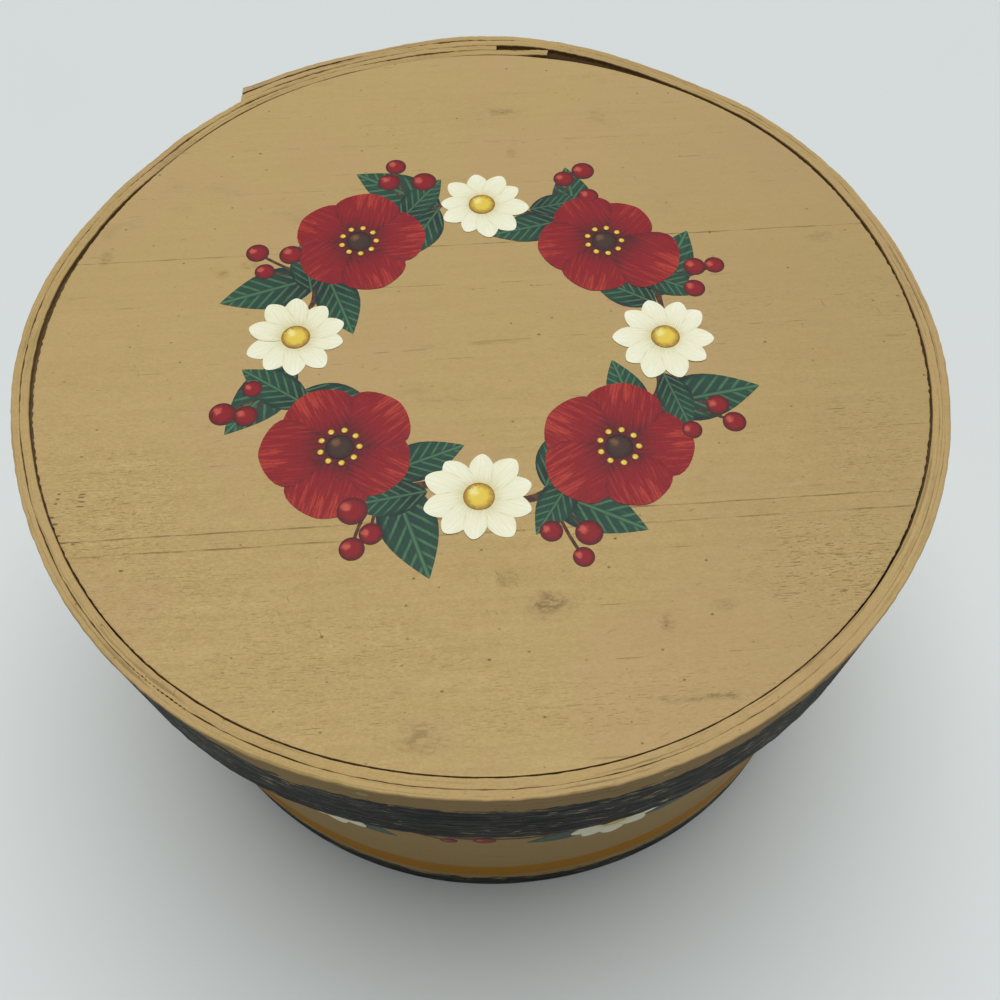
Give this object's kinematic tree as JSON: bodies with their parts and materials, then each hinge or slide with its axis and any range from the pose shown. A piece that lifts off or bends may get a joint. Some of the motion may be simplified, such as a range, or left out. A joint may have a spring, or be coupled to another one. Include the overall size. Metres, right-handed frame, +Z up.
{
  "type": "cheese box",
  "caption": "Round painted bentwood cheese box with a boarded bottom and a lift-off lid whose lapped veneer rim slips over the side.",
  "frame": {"origin": "middle of the underside, on the surface that the box stands on", "axes": "+Z up, +X to the right and +Y to the back as the picture shows the box"},
  "size_m": [0.3169, 0.3228, 0.18],
  "materials": {
    "painted_board": "matt tan paint over sawn boards",
    "painted_rim": "matt tan paint with a dry-brushed charcoal band",
    "painted_side": "matt tan paint with ochre and charcoal stripes",
    "bare_wood": "unpainted, aged",
    "iron": "plain wire nails, dull"
  },
  "bodies": {
    "box": {"side_wall": "painted_side", "side_lap_tacks": "iron", "bottom_front_board": "bare_wood", "bottom_middle_board": "bare_wood", "bottom_back_board": "bare_wood", "bottom_nails": "iron"},
    "lid": {"lid_front_board": "painted_board", "lid_middle_board": "painted_board", "lid_back_board": "painted_board", "rim_inner_ply": "painted_rim", "rim_outer_ply": "painted_rim", "rim_nails": "iron", "rim_lap_tacks": "iron"}
  },
  "joints": [
    {"name": "lid_lift", "type": "slide", "parent": "box", "child": "lid", "axis": [0, 0, 1], "range_m": [0, 0.2]}
  ]
}
